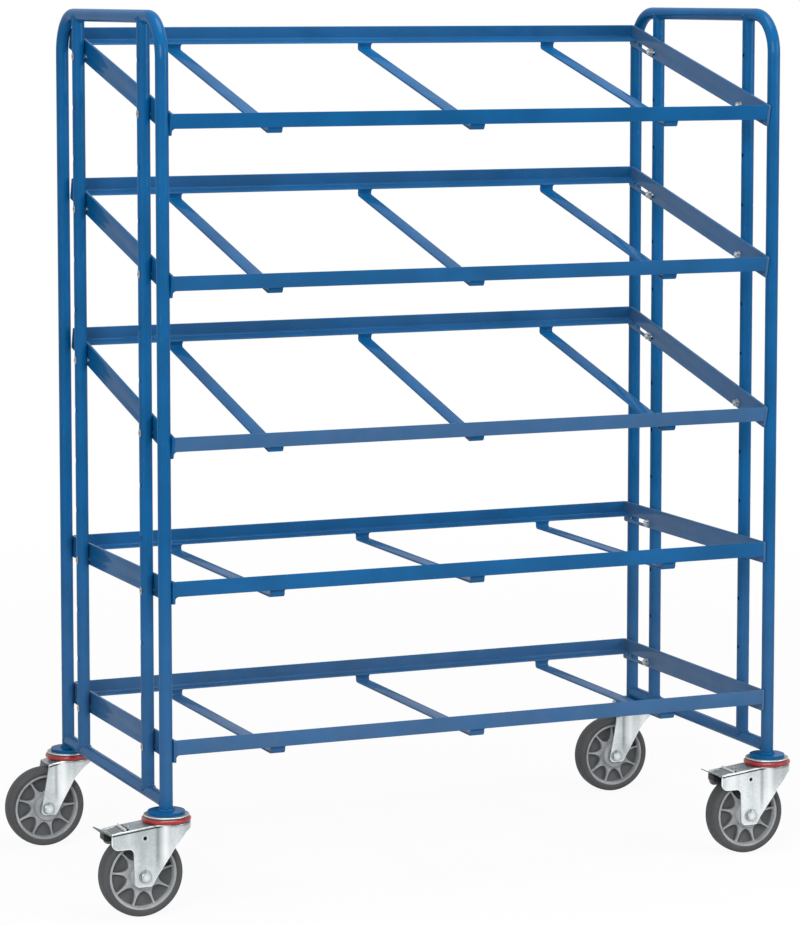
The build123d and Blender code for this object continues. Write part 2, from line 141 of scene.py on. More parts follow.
def block(width, height, radius):
    w, h = width / 2, height / 2
    return rounded([(-w, -h), (w, -h), (w, h), (-w, h)], radius, 3)


def circle(radius, count):
    a = fullTurn(count)
    return np.stack([radius * np.cos(a), radius * np.sin(a)], -1)


def axes(origin, x, z):
    # 4x4 matrix that puts a shape's X and Z along these directions
    matrix = np.eye(4)
    matrix[:3, 0], matrix[:3, 1], matrix[:3, 2], matrix[:3, 3] = x, np.cross(z, x), z, origin
    return matrix


def moved(x, y, z):
    return axes((x, y, z), (1, 0, 0), (0, 0, 1))


def crosswise(x, y, z):
    # a shape's Z then points to the front, along the axles
    return axes((x, y, z), (1, 0, 0), (0, -1, 0))


def band(distance, strength, middle, width):
    # bell curve over a distance
    return strength * np.exp(-((distance - middle) / width) ** 2)


def ramp(value, start, length):
    # 0 up to start, 1 from start + length on
    return np.clip((value - start) / length, 0, 1)


def mergeDoubles(mesh, distance, outward=False):
    # joins points closer than that, which closes poles and seams
    work = bmesh.new()
    work.from_mesh(mesh)
    bmesh.ops.remove_doubles(work, verts=work.verts, dist=distance * mm)
    if outward:
        bmesh.ops.recalc_face_normals(work, faces=work.faces)
    work.to_mesh(mesh)
    work.free()


def flatPlate(outlines, thickness, edge):
    # flat curve with its holes, thickened about z = 0, its edges rounded
    curve = bpy.data.curves.new("outline", "CURVE")
    curve.dimensions, curve.fill_mode = "2D", "BOTH"
    curve.extrude, curve.bevel_depth = (thickness / 2 - edge) * mm, edge * mm
    curve.bevel_resolution, curve.offset = 2, -edge * mm
    for outline in outlines:
        spline = curve.splines.new("POLY")
        spline.points.add(len(outline) - 1)
        level = np.zeros((len(outline), 1))
        spline.points.foreach_set("co", np.hstack([outline * mm, level, level + 1]).ravel())
        spline.use_cyclic_u = True
    holder = bpy.data.objects.new("outline", curve)
    mesh = bpy.data.meshes.new_from_object(holder)
    mergeDoubles(mesh, 0.02)
    points = np.array([vertex.co for vertex in mesh.vertices]) / mm
    bySize = sorted(mesh.polygons, key=lambda polygon: polygon.loop_total)
    plate = Shape(points, [np.array([polygon.vertices[:]]) for polygon in bySize])
    bpy.data.objects.remove(holder)
    bpy.data.curves.remove(curve)
    bpy.data.meshes.remove(mesh)
    return plate


def linked(name, data):
    made = bpy.data.objects.new(name, data)
    scene.collection.objects.link(made)
    return made


def makePiece(node, shape, material, body, sharp=38, modifiers=(), line=None, replaced=()):
    # the piece takes its name from its node, which it replaces if the CAD has it
    first, *rest = node.split("_")
    name = first + "".join(word.capitalize() for word in rest)
    mesh = bpy.data.meshes.new(name)
    mesh.from_pydata(shape.points * mm, [], [face for faces in shape.faces for face in faces.tolist()])
    mesh.validate()
    # line holds per-point painted shade and highlight, or a share of painted sheen
    if line is not None:
        mesh.attributes.new("line", "FLOAT", "POINT").data.foreach_set("value", line.astype(np.float32))
    mergeDoubles(mesh, 0.03, outward=not modifiers)  # a sheet to be thickened keeps its own side
    mesh.polygons.foreach_set("use_smooth", np.ones(len(mesh.polygons), bool))
    mesh.set_sharp_from_angle(angle=np.radians(sharp))
    mesh.materials.append(material)
    piece = linked(name, mesh)
    for kind, settings in modifiers:
        modifier = piece.modifiers.new(kind.lower(), kind)
        for key, value in settings.items():
            setattr(modifier, key, value)
    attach(piece, body)
    replaced = replaced or [node] * (node in cadNodes)
    if replaced:
        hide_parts(*replaced)


class Field:  # a socket; arithmetic on it adds Math nodes
    def __init__(self, finish, socket):
        self.finish, self.socket = finish, socket

    def math(self, operation, a, b=0.0):
        return self.finish.node("ShaderNodeMath", {0: a, 1: b}, operation=operation)

    def __add__(self, other):
        return self.math("ADD", self, other)

    def __sub__(self, other):
        return self.math("SUBTRACT", self, other)

    def __rsub__(self, other):
        return self.math("SUBTRACT", other, self)

    def __mul__(self, other):
        return self.math("MULTIPLY", self, other)

    def __abs__(self):
        return self.math("ABSOLUTE", self)

    def sine(self):
        return self.math("SINE", self)

    def orMore(self, other):
        return self.math("MAXIMUM", self, other)

    __radd__, __rmul__ = __add__, __mul__


class Finish:  # nodes of a material or the world: node() adds any node, close() ends them with a shader
    endings = dict(materials="ShaderNodeOutputMaterial", worlds="ShaderNodeOutputWorld")

    def __init__(self, name, kind="materials"):
        self.owner = getattr(bpy.data, kind).new(name)
        self.owner.use_nodes = True
        self.tree = self.owner.node_tree
        self.tree.nodes.clear()
        self.ending = self.endings[kind]

    @cached_property
    def place(self):
        return self.node("ShaderNodeTexCoord", out="Object")

    def node(self, kind, inputs=None, out=0, **settings):
        made = self.tree.nodes.new(kind)
        for key, value in settings.items():
            setattr(made, key, value)
        for key, value in (inputs or {}).items():
            if isinstance(value, Field):
                self.tree.links.new(value.socket, made.inputs[key])
            else:
                made.inputs[key].default_value = value
        return Field(self, made.outputs[out])

    def along(self, axis):
        return self.node("ShaderNodeSeparateXYZ", {0: self.place}, axis)

    def noise(self, scale, detail=2.0, stretch=(1, 1, 1), rough=0.5):
        place = self.node("ShaderNodeMapping", {"Vector": self.place, "Scale": stretch})
        inputs = {"Vector": place, "Scale": scale, "Detail": detail, "Roughness": rough}
        return self.node("ShaderNodeTexNoise", inputs)

    def cells(self, scale):
        cell = self.node("ShaderNodeTexVoronoi", {"Vector": self.place, "Scale": scale}, "Color")
        return self.node("ShaderNodeSeparateColor", {0: cell})

    def mix(self, amount, a, b):
        return self.node("ShaderNodeMix", {0: amount, 6: a, 7: b}, 2, data_type="RGBA")

    def step(self, value, low, high):
        inputs = {0: value, 1: low, 2: high}
        return self.node("ShaderNodeMapRange", inputs, interpolation_type="SMOOTHSTEP")

    def bump(self, height, distance):
        return self.node("ShaderNodeBump", {"Height": height, "Distance": distance, "Strength": 1.0})

    # the line attribute: painted shade above 0, painted highlight below 0, or painted sheen on blue pieces
    def line(self):
        return self.node("ShaderNodeAttribute", out="Fac", attribute_name="line")

    def offMiddle(self):
        # distance from the middle plane of a wheel; the wheels stand as far to the front as to the rear
        return abs(abs(self.along("Y")) - legY["rear"] * mm)

    def look(self, inputs):
        return self.close(self.node("ShaderNodeBsdfPrincipled", inputs))

    def close(self, shader):
        self.tree.links.new(shader.socket, self.tree.nodes.new(self.ending).inputs["Surface"])
        return self.owner


def srgb(red, green, blue):
    c = np.array([red, green, blue]) / 255
    c = np.where(c < 0.04045, c / 12.92, ((c + 0.055) / 1.055) ** 2.4)
    return (*map(float, c), 1.0)


# tubes, end frames and the rows of holes, which are counted from the top
tube = dict(radius=12.5, top=1677.5, base=211.5, disc=196.0)
leftX = sum(corner.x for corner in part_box("left_hoop")) / 2 / mm
rightX = sum(corner.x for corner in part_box("right_hoop")) / 2 / mm
frameX = dict(left=leftX, right=rightX)
legY = dict(front=-302.0, rear=302.0)
uprightY = dict(front=-197.0, rear=197.0)
uprightSpan = uprightY["rear"] - uprightY["front"]
inward = dict(left=1, right=-1)
holeRow = dict(lowest=296.0, pitch=100.0, count=14)
shelfHoles = {1: (2, 1), 2: (5, 4), 3: (8, 7), 4: (11, 11), 5: (14, 14)}  # front and rear hole of each shelf


def holeHeight(number):
    return holeRow["lowest"] + (holeRow["count"] - number) * holeRow["pitch"]


def shelfAxes(number):
    # origin on the front bolt, directions to the rear and up
    front, rear = map(holeHeight, shelfHoles[number])
    tilt = np.arctan2(rear - front, uprightSpan)
    along = np.array([0, np.cos(tilt), np.sin(tilt)])
    return np.array([0, uprightY["front"], front]), along, np.array([0, -along[2], along[1]])


def onShelf(number, x, line):
    # points at x; the line holds distances to the rear and up
    origin, along, up = shelfAxes(number)
    line = np.asarray(line, float)
    return origin + np.reshape(x, (-1, 1)) * np.array([1.0, 0, 0]) + line[:, :1] * along + line[:, 1:] * up


# finishes
# the pale blue-grey below is mixed into the paint as painted sheen and painted highlight
blueLook = dict(deep=srgb(6, 74, 120), fresh=srgb(9, 82, 133), dust=srgb(82, 102, 128), rough=0.34,
                shine=0.02, coat=0.15, coatRough=0.06, peel=900.0, peelDepth=0.00003, dustTop=0.75,
                sheenFull=0.3, discTop=(0.19, 0.23))
# line is the colour of painted shade in each fold, edge that of painted highlight on cut edges
zincLook = dict(pale=srgb(222, 227, 228), dark=srgb(166, 174, 176), line=srgb(38, 42, 44),
                edge=srgb(248, 250, 250), rough=0.34, metal=0.60)
dullLook = dict(pale=srgb(166, 172, 172), dark=srgb(138, 145, 146), line=srgb(34, 37, 38),
                edge=srgb(240, 243, 243), rough=0.40, metal=0.60)
# web is a darker grey painted into the rim's pockets as shade
rimLook = dict(pale=srgb(156, 159, 161), dark=srgb(134, 137, 139), web=srgb(80, 82, 84), grain=1500.0,
               rough=0.50, shine=0.25, ribTop=0.0135, webTop=0.0055)
tyreLook = dict(pale=srgb(74, 75, 77), dark=srgb(60, 61, 63), dust=srgb(98, 98, 97), ridge=0.0017, rough=0.66,
                shine=0.2, shoulder=(0.0115, 0.0130), shoulderEnd=(0.0193, 0.0185))
sealLook = dict(pale=srgb(150, 30, 36), dark=srgb(132, 24, 30), clouds=(40.0, 3.0), rough=0.26, spread=0.12,
                sheen=(160.0, 2.0), shine=0.45, grain=1200.0, depth=0.00002)
blackLook = dict(pale=srgb(30, 31, 33), dark=srgb(17, 17, 19), clouds=(60.0, 4.0), rough=0.46, spread=0.16,
                 sheen=(90.0, 3.0), shine=0.25, grain=1400.0, depth=0.00004)


def bluePaint():
    # orange peel; painted sheen, a pale blue-grey, by the line attribute, and more of it towards the
    # floor as painted highlight, none on the weld discs
    f = Finish("bluePowderCoat")
    z, patches = f.along("Z"), f.noise(25.0, 3.0)
    speck = f.step(f.noise(2600.0, 0.0), 0.62, 0.78)
    colour = f.mix(f.step(f.noise(9.0, 3.0), 0.3, 0.7), blueLook["deep"], blueLook["fresh"])
    # painted sheen where the line attribute is set
    colour = f.mix(f.line() * (0.7 + 0.6 * patches), colour, blueLook["dust"])
    # painted highlight: paler towards the floor, none on the weld discs
    low = f.step(z, blueLook["dustTop"], blueLook["sheenFull"]) * f.step(z, *blueLook["discTop"])
    colour = f.mix(low * (0.12 + 0.26 * patches), colour, blueLook["dust"])
    rough = blueLook["rough"] + 0.10 * (f.noise(40.0, 3.0) - 0.5) + 0.08 * speck
    peel = f.noise(blueLook["peel"], 1.0) + 0.25 * f.noise(220.0, 1.0)
    return f.look({"Base Color": colour, "Roughness": rough, "Specular IOR Level": blueLook["shine"],
                   "Coat Weight": blueLook["coat"], "Coat Roughness": blueLook["coatRough"],
                   "Normal": f.bump(peel, blueLook["peelDepth"])})


def zincPlate(name, look):
    # soft upright bands, clouds, a faint spangle, streaks in the roughness; paler towards the bottom as
    # painted light; the line attribute darkens each fold above 0 as painted shade and brightens cut edges
    # below 0 as painted highlight
    f = Finish(name)
    spangle = f.cells(420.0)
    band = f.noise(34.0, 2.0, (1, 1, 0.12))
    cloud = f.noise(13.0, 3.0)
    streak = f.noise(60.0, 3.0, (1, 1, 9))
    # painted light: paler towards the bottom
    height = f.step(f.along("Z"), 0.19, 0.06)
    tone = 0.42 * band + 0.34 * cloud + 0.06 * spangle + 0.08 * height
    colour = f.mix(f.step(tone, 0.28, 0.60), look["dark"], look["pale"])
    colour = f.mix(f.line(), colour, look["line"])
    colour = f.mix(0.0 - f.line(), colour, look["edge"])
    rough = look["rough"] + 0.10 * (streak - 0.5) + 0.06 * (spangle - 0.5)
    return f.look({"Base Color": colour, "Roughness": rough, "Metallic": look["metal"],
                   "Normal": f.bump(f.noise(500.0, 2.0) + 0.4 * streak, 0.00001)})


def rimPlastic():
    # paler on the edges that stand out, darker down in the pockets as painted shade
    f = Finish("rimPlastic")
    colour = f.mix(f.step(f.noise(30.0, 4.0), 0.35, 0.7), rimLook["dark"], rimLook["pale"])
    paintedPocketShade = f.step(f.offMiddle(), rimLook["ribTop"], rimLook["webTop"])
    rough = rimLook["rough"] + 0.14 * (f.noise(70.0, 3.0) - 0.5)
    return f.look({"Base Color": f.mix(paintedPocketShade, colour, rimLook["web"]), "Roughness": rough,
                   "Specular IOR Level": rimLook["shine"],
                   "Normal": f.bump(f.noise(rimLook["grain"], 1.0), 0.00003)})


def tyreRubber():
    # mould lines round the shoulders: a sine of the distance from the wheel's middle; bumped, and mixed
    # towards the paler colour as painted highlight
    f = Finish("tyreRubber")
    off = f.offMiddle()
    scuff = f.step(f.noise(55.0, 5.0, (1, 3, 1), 0.65), 0.55, 0.78)
    shoulder = f.step(off, *tyreLook["shoulder"]) * f.step(off, *tyreLook["shoulderEnd"])
    ridge = shoulder * f.step((off * (2 * pi / tyreLook["ridge"])).sine(), 0.2, 0.9)
    colour = f.mix(f.noise(26.0, 4.0), tyreLook["dark"], tyreLook["pale"])
    colour = f.mix(0.30 * scuff, colour, tyreLook["dust"])
    colour = f.mix(0.35 * ridge, colour, tyreLook["dust"])
    rough = tyreLook["rough"] + 0.14 * scuff + 0.08 * (f.noise(120.0, 2.0) - 0.5)
    return f.look({"Base Color": colour, "Roughness": rough, "Specular IOR Level": tyreLook["shine"],
                   "Normal": f.bump(f.noise(800.0, 3.0) + 0.5 * scuff + 3.0 * ridge, 0.00005)})


def plainPlastic(name, look):
    # two clouded colours, clouded roughness and a fine grain
    f = Finish(name)
    colour = f.mix(f.noise(*look["clouds"]), look["dark"], look["pale"])
    rough = look["rough"] + look["spread"] * (f.noise(*look["sheen"]) - 0.5)
    return f.look({"Base Color": colour, "Roughness": rough, "Specular IOR Level": look["shine"],
                   "Normal": f.bump(f.noise(look["grain"], 1.0), look["depth"])})


zinc, dull = zincPlate("zincPlate", zincLook), zincPlate("dullZinc", dullLook)
blue, rimGrey, rubber = bluePaint(), rimPlastic(), tyreRubber()
red, black = plainPlastic("sealPlastic", sealLook), plainPlastic("blackPlastic", blackLook)
finishBySlot = dict(blue_paint=blue, zinc=dull, grey_rim=rimGrey, grey_tyre=rubber, red_seal=red,
                    black_plastic=black)
for entry in frame["record"]["subparts"]:
    node = cadNodes[entry["node"]]
    node.data.materials.clear()
    node.data.materials.append(finishBySlot[entry["material_slot"]])
print("finishes done")


# shelves: angle rails, flat side plates, cranked straps
shelf = dict(front=-114.0, rear=508.0, top=32.5, leg=29.0, sheet=3.0, root=5.0, toe=2.0, heel=0.5,
             railEdge=0.7, plate=43.0, plateSheet=5.0, plateGap=0.1, plateCorner=4.0, plateOver=1.0,
             plateEdge=0.7, slotEnd=479.4, hole=4.5, strap=28.8, strapSheet=4.0, strapDrop=15.0,
             strapSink=0.2, strapEdge=0.8, strapFront=8.0, strapRear=23.0, strapBend=5.5, strapFillet=4.0)
# share of painted sheen (a pale wash for reflected light) on the front and rear rail of each shelf,
# and on all right-hand plates
railSheen = {1: (0.0, 0.1), 2: (0.08, 0.12), 3: (0.42, 0.15), 4: (0.0, 0.05), 5: (0.25, 0.12)}
plateSheen = 0.45
railBottom = shelf["top"] - shelf["leg"]
railFloor = railBottom + shelf["sheet"]
plateIn = tube["radius"] + shelf["plateGap"] + shelf["plateSheet"]
railEnds = np.array([leftX + plateIn, rightX - plateIn])
strapX = (leftX + rightX) / 2 + np.array([-1, 0, 1]) * (railEnds[1] - railEnds[0]) / 3


def railSide(end):
    # a rail's outer face and the direction in which its flange points
    return (shelf["front"], 1) if end == "front" else (shelf["rear"], -1)


def railShape(number, end):
    # angle section carried from plate to plate
    along, up = shelfAxes(number)[1:]
    face, inner = railSide(end)
    back, lip = face + inner * shelf["sheet"], face + inner * shelf["leg"]
    edge, toe = shelf["railEdge"], shelf["toe"]
    radii = [shelf["heel"], edge, toe, shelf["root"], toe, edge]
    outline = rounded([(face, railBottom), (face, shelf["top"]), (back, shelf["top"]), (back, railFloor),
                       (lip, railFloor), (lip, railBottom)], radii)
    return sweep(outline, onShelf(number, railEnds, [(0, 0)]), along, up)


def strapShape(number):
    # flat bar carried down, along and up again, between the rails
    along, up = shelfAxes(number)[1:]
    half = shelf["strapSheet"] / 2
    high, low = railBottom + shelf["strapSink"], railBottom + half - shelf["strapDrop"]
    front = shelf["front"] + shelf["strapFront"] + half
    rear = shelf["rear"] - shelf["strapRear"] - half
    corners = [(front, high), (front, low), (rear, low), (rear, high)]
    line = rounded(corners, shelf["strapBend"], 8, closed=False)
    tangent = unit(np.gradient(line, axis=0))
    normal = -tangent[:, 1:] * along + tangent[:, :1] * up
    section = block(shelf["strap"], shelf["strapSheet"], shelf["strapEdge"])
    return joined([sweep(section, onShelf(number, x, line), [1.0, 0, 0], normal) for x in strapX])


def plateOutlines():
    # the bar with its round corners, the bolt hole at the front and the slot at the rear
    front, rear = shelf["front"] - shelf["plateOver"], shelf["rear"] + shelf["plateOver"]
    bottom, top, hole = shelf["top"] - shelf["plate"], shelf["top"], shelf["hole"]
    start, end = uprightSpan - hole, shelf["slotEnd"]
    bar = rounded([(front, bottom), (rear, bottom), (rear, top), (front, top)], shelf["plateCorner"])
    slot = rounded([(start, -hole), (end, -hole), (end, hole), (start, hole)], hole - 0.001, 8)
    return [bar, circle(hole, 28), slot]


plateShape = flatPlate(plateOutlines(), shelf["plateSheet"], shelf["plateEdge"])


def platesShape(number):
    origin, along, up = shelfAxes(number)
    middles = railEnds + np.array([-1, 1]) * shelf["plateSheet"] / 2
    return joined([plateShape.at(axes(origin + [x, 0, 0], along, np.cross(along, up))) for x in middles])


# the third argument is a share of painted sheen, stored in the line attribute
def paintPiece(node, shape, dust=None, replaced=()):
    makePiece(node, shape, blue, "frame", line=dust, replaced=replaced)


for number, (frontSheen, rearSheen) in railSheen.items():
    node = f"shelf_{number}"
    front, rear, plates = railShape(number, "front"), railShape(number, "rear"), platesShape(number)
    paintPiece(f"{node}_front_rail", front, np.full(len(front.points), frontSheen))
    paintPiece(f"{node}_rear_rail", rear, np.full(len(rear.points), rearSheen))
    paintPiece(f"{node}_side_plates", plates, np.where(plates.points[:, 0] > 0, plateSheen, 0.0))
    paintPiece(f"{node}_straps", strapShape(number), replaced=[f"{node}_cross_straps"])
print("shelves done")


# fasteners
# points round, share of the flats left flat, edge under a head, sharp edges from this angle on
hexEnd = dict(sides=72, ring=0.95, foot=0.25, sharp=24)
thread = dict(sides=20, rows=6, depth=0.31, tip=1.0)  # rows of a turn, depth as a share of the pitch
bolt = dict(flats=13.0, radius=4.0, washerSheet=1.6, washerBore=4.2, washerRadius=8.0, nut=6.5, nutBore=4.05,
            past=2.0, sink=0.5, headRadius=7.9, headEdge=0.35, headSide=0.25, socket=5.0, socketDepth=2.6,
            socketCone=0.8, socketEdge=0.3, sides=48, shankPast=1.0, studShade=0.25,
            shade=[0.95, 0.95, 0.6, 0.4, 0.75, 0.95, 0.6, 0.3, 0.3])  # one value for each row of the bolt


def hexRadius(flats, a):
    # distance from a hexagon's middle to its outline at the angles a
    return flats / 2 / np.cos((a + pi / 6) % (pi / 3) - pi / 6)


def chamferedHex(flats):
    # angles, hexagon radius, radius of the flat that a 30 degree cone leaves, height that the cone takes
    a = fullTurn(hexEnd["sides"])
    wide, flat = hexRadius(flats, a), hexEnd["ring"] * flats / 2
    return a, wide, flat, (wide - flat) * np.tan(pi / 6)


def hexHead(flats, height):
    # hexagon chamfered on top
    a, wide, flat, drop = chamferedHex(flats)
    foot = hexEnd["foot"]
    rows = [(0, 0), (wide - foot, 0), (wide, foot), (wide, height - drop), (flat, height), (0, height)]
    return grid(ringRows(rows, a), wrapV=True)


def nutShape(flats, height, bore):
    # hexagon chamfered at both ends round a plain bore
    a, wide, flat, drop = chamferedHex(flats)
    rows = [(bore, 0), (flat, 0), (wide, drop), (wide, height - drop), (flat, height), (bore, height)]
    return grid(ringRows(rows, a), wrapU=True, wrapV=True)


def threadedEnd(radius, start, length, pitch=1.25):
    # cylinder along Z whose radius follows a helix of that pitch, fading out at the chamfered tip
    a = fullTurn(thread["sides"])
    z = np.linspace(0, length, max(8, int(length / pitch * thread["rows"])))[:, None]
    wave = np.abs(((z / pitch - a / (2 * pi)) % 1) * 2 - 1)
    r = radius - thread["depth"] * pitch * wave - np.clip(z - length + thread["tip"], 0, 1)
    points = np.stack([r * np.cos(a), r * np.sin(a), start + z + 0 * a], -1)
    return grid(points, wrapV=True, caps=True)


def sleeve(bore, radius, start, length, count):
    # short round tube along Z
    outline = [(bore, start), (radius, start), (radius, start + length), (bore, start + length)]
    return turned(rounded(outline, 0.3, 2), count)


def countersunk(end):
    # rows from the middle of the hexagon socket out over the flat head, down its cone and along the shank
    a = fullTurn(bolt["sides"])
    socket, radius, wide = hexRadius(bolt["socket"], a), bolt["radius"], bolt["headRadius"]
    top = bolt["sink"] - tube["radius"]
    floor, side = top + bolt["socketDepth"], top + bolt["headSide"]
    rows = [(0, floor + bolt["socketCone"]), (socket, floor), (socket, top + bolt["socketEdge"]),
            (socket + bolt["socketEdge"], top), (wide - bolt["headEdge"], top), (wide, side),
            (radius, side + wide - radius), (radius, end), (0, end)]
    return grid(ringRows(rows, a), wrapV=True)


shankEnd = plateIn + bolt["shankPast"]
boltTip = plateIn + bolt["washerSheet"] + bolt["nut"] + bolt["past"]
stud = threadedEnd(bolt["radius"], shankEnd, boltTip - shankEnd)
wholeBolt = countersunk(shankEnd) + stud
washer = sleeve(bolt["washerBore"], bolt["washerRadius"], 0, bolt["washerSheet"], 32)
nut = nutShape(bolt["flats"], bolt["nut"], bolt["nutBore"])
bolts, washers, nuts = [], [], []
for side, x in frameX.items():
    for holes in shelfHoles.values():
        for y, hole in zip(uprightY.values(), holes):
            spots = [axes((x, y, holeHeight(hole)), (0, np.cos(t), np.sin(t)), (inward[side], 0, 0))
                     for t in rng.uniform(0, 2 * pi, 3)]
            bolts.append(wholeBolt.at(spots[0]))
            washers.append(washer.at(spots[1] @ moved(0, 0, plateIn)))
            nuts.append(nut.at(spots[2] @ moved(0, 0, plateIn + bolt["washerSheet"])))
# painted shade: the bolts' socket and head rim darkened, the nuts' bore edges and corners darkened
boltShade = np.append(np.repeat(bolt["shade"], bolt["sides"]), np.full(len(stud.points), bolt["studShade"]))
sector = hexEnd["sides"] // 6
corner = np.abs((np.arange(hexEnd["sides"]) + sector // 2) % sector - sector // 2)  # 6 on a hexagon's corners
nutEdge, nutFace, nutSide = 0.95 + 0 * corner, 0.05 * corner, 0.9 * (corner > 4)
nutShade = np.concatenate([nutEdge, nutFace, nutSide, nutSide, nutFace, nutEdge])
makePiece("shelf_bolts", joined(bolts), zinc, "frame", hexEnd["sharp"],
          line=np.tile(boltShade, len(bolts)))
makePiece("shelf_washers", joined(washers), dull, "frame")
makePiece("shelf_nuts", joined(nuts), zinc, "frame", hexEnd["sharp"],
          line=np.tile(nutShade, len(nuts)))
print("fasteners done")

# weld beads: a thin tube along each seam, with ripples; radius for each kind of seam
weld = dict(upright=2.3, leg=1.5, disc=2.6, rail=1.7, strap=1.5, ripple=2.6, depth=0.12, slow=17.0,
            slowDepth=0.10, discLift=0.6, fillet=8.0, inset=2.0, root=3.5, strapHalf=13.0, sides=10,
            soft=0.02, strapOut=0.5, strapUnder=0.6, strapInset=0.3, filletInset=1.5)
aside = [0.31, 0.52, 0.80]  # a direction that no seam follows


def bead(path, radius, closed=False):
    # tube along the path; its radius swells once per ripple length
    step = np.linalg.norm(np.diff(path, axis=0, append=path[:1] if closed else path[-1:]), axis=1)
    length = np.concatenate([[0], np.cumsum(step)[:-1]])
    tangent = unit(np.roll(path, -1, 0) - np.roll(path, 1, 0) if closed else np.gradient(path, axis=0))
    side = unit(np.cross(tangent, aside))
    other = np.cross(tangent, side)
    ripple = weld["depth"] * np.sin(2 * pi * length / weld["ripple"])
    swell = radius * (1 + ripple + weld["slowDepth"] * np.sin(2 * pi * length / weld["slow"] + radius))
    if not closed:
        swell = swell * np.sqrt(np.clip(np.minimum(length, length[-1] - length) / radius, 0.05, 1))
    a = fullTurn(weld["sides"])[:, None]
    points = path[:, None] + swell[:, None, None] * (np.cos(a) * side[:, None] + np.sin(a) * other[:, None])
    return grid(points, wrapU=closed, wrapV=True, caps=not closed)


def saddle(centre, axis):
    # where a tube along axis meets an equal tube that runs across it: height = radius * |sin|, softened
    a = fullTurn(150)
    points = tube["radius"] * np.stack([np.cos(a), np.sin(a), np.sqrt(np.sin(a) ** 2 + weld["soft"])], -1)
    matrix = axes(centre, (1, 0, 0), axis)
    return points @ matrix[:3, :3].T + matrix[:3, 3]


discRing = np.pad(circle(tube["radius"] + weld["discLift"], 120), ((0, 0), (0, 1)))
beads = []
for x in frameX.values():
    for y in uprightY.values():
        beads.append(bead(saddle((x, y, tube["base"]), (0, 0, 1)), weld["upright"], True))
        beads.append(bead(saddle((x, y, tube["top"]), (0, 0, -1)), weld["upright"], True))
    for y in legY.values():
        beads.append(bead(saddle((x, y, tube["base"]), (0, -np.sign(y), 0)), weld["leg"], True))
        beads.append(bead(discRing + [x, y, tube["disc"] + weld["discLift"]], weld["disc"], True))
paintPiece("frame_welds", joined(beads))

# fillet section of size 1: a square corner less a quarter circle
quarter = np.linspace(0, pi / 2, 7)
hollow = np.vstack([[(0, 0)], np.stack([1 - np.sin(quarter), np.cos(quarter) - 1], -1)])


def fillet(number, x, turn, size, start, end):
    # under a rail from start to end, in the corner that opens to the right (turn 1) or to the left (-1)
    path = onShelf(number, x, [(start, railBottom), (end, railBottom)])
    return sweep(hollow * size, path, [turn, 0, 0], shelfAxes(number)[2])


def railSeams(number, end):
    # beads where a rail meets the plates and the straps, and fillets under it
    face, inner = railSide(end)
    back, lip = face + inner * shelf["sheet"], face + inner * (shelf["leg"] - weld["inset"])
    corners = [(back, shelf["top"] - weld["inset"]), (back, railFloor), (lip, railFloor)]
    line = resampled(rounded(corners, [0, weld["root"], 0], 6, False), 70)[0]
    near = face + inner * (shelf["strapFront"] if end == "front" else shelf["strapRear"])
    far = near + inner * shelf["strapSheet"]
    made = [bead(onShelf(number, x, line), weld["rail"]) for x in railEnds]
    for x in strapX:
        across = np.linspace(x - weld["strapHalf"], x + weld["strapHalf"], 50)
        seam = [(far + inner * weld["strapOut"], railBottom - weld["strapUnder"])]
        made.append(bead(onShelf(number, across, seam), weld["strap"]))
        for turn in (-1.0, 1.0):
            made.append(fillet(number, x + turn * shelf["strap"] / 2, turn, shelf["strapFillet"],
                               near + inner * weld["strapInset"], far - inner * weld["strapInset"]))
    for x, turn in zip(railEnds, (1.0, -1.0)):
        made.append(fillet(number, x, turn, weld["fillet"], face + inner * weld["filletInset"], lip))
    return made


seams = [seam for number in shelfHoles for end in ("front", "rear") for seam in railSeams(number, end)]
paintPiece("shelf_welds", joined(seams))
print("welds done")

# casters, worked out about the swivel axis with the floor at 0
caster = dict(trail=52.0, radius=80.0, half=30.0, sheet=3.0, bend=3.0, crown=177.3, crownStart=-21.0,
              crownRadius=46.0, flare=41.0, flareX=-4.0, pivot=153.0, pivotHole=3.8, knobX=-75.6, knob=2.4,
              knobRadius=3.4)
forkKinds = dict(  # side view of the sheet, where the cheeks become parallel, where the cover ends
    braked=dict(corners=[(-117, 166.2), (-117, 134.5), (-74.5, 134.5), (-72, 61), (-38.5, 61), (1, 130.5),
                         (30, 162), (50, 166), (50, 180), (-21, 180)],
                radii=[2, 13, 10, 10, 6, 40, 30, 0, 0, 0], cheek=-30.0, coverEnd=-80.0),
    plain=dict(corners=[(-50, 169), (-68.5, 67), (-36.5, 67), (-1, 139), (25, 165), (50, 168), (50, 180),
                        (-21, 180)],
               radii=[0, 9, 6, 40, 30, 0, 0, 0], cheek=-38.0, coverEnd=-50.0))
forkRows = dict(count=52, fine=[4.0, 3.2, 2.5, 1.9, 1.3, 0.6, 0.0], fineFrom=5.0, tall=14.0, hole=3, blend=6)
# bands are strength, middle, width; flat, flared and high are where a ramp starts and its length
# fork shade: above 0 painted shade, below 0 painted highlight
forkShade = dict(topFold=(1.5, 1.2, 1.3), cheekFold=(0.42, 2.5, 3.4), cheekShine=(-0.55, 16.0, 6.5),
                 axleRing=(0.75, 11.6, 0.9), crownEdge=(0.5, 0.0, 2.2), cutEdge=(-0.95, 0.0, 1.1),
                 pivotRing=(-0.45, 5.2, 0.8), knobRing=(0.5, 4.2, 1.2), knobTop=(-0.4, 2.5), bend=0.6,
                 cover=0.36, flat=(4.0, 10.0), flared=(14.0, 10.0), high=(84.0, 30.0))
casterAt = {f"{end}_{side}": (frameX[side], legY[end]) for end in legY for side in frameX}
wheelTurn = dict(front_left=12.0, front_right=7.0, rear_left=2.0, rear_right=13.0)


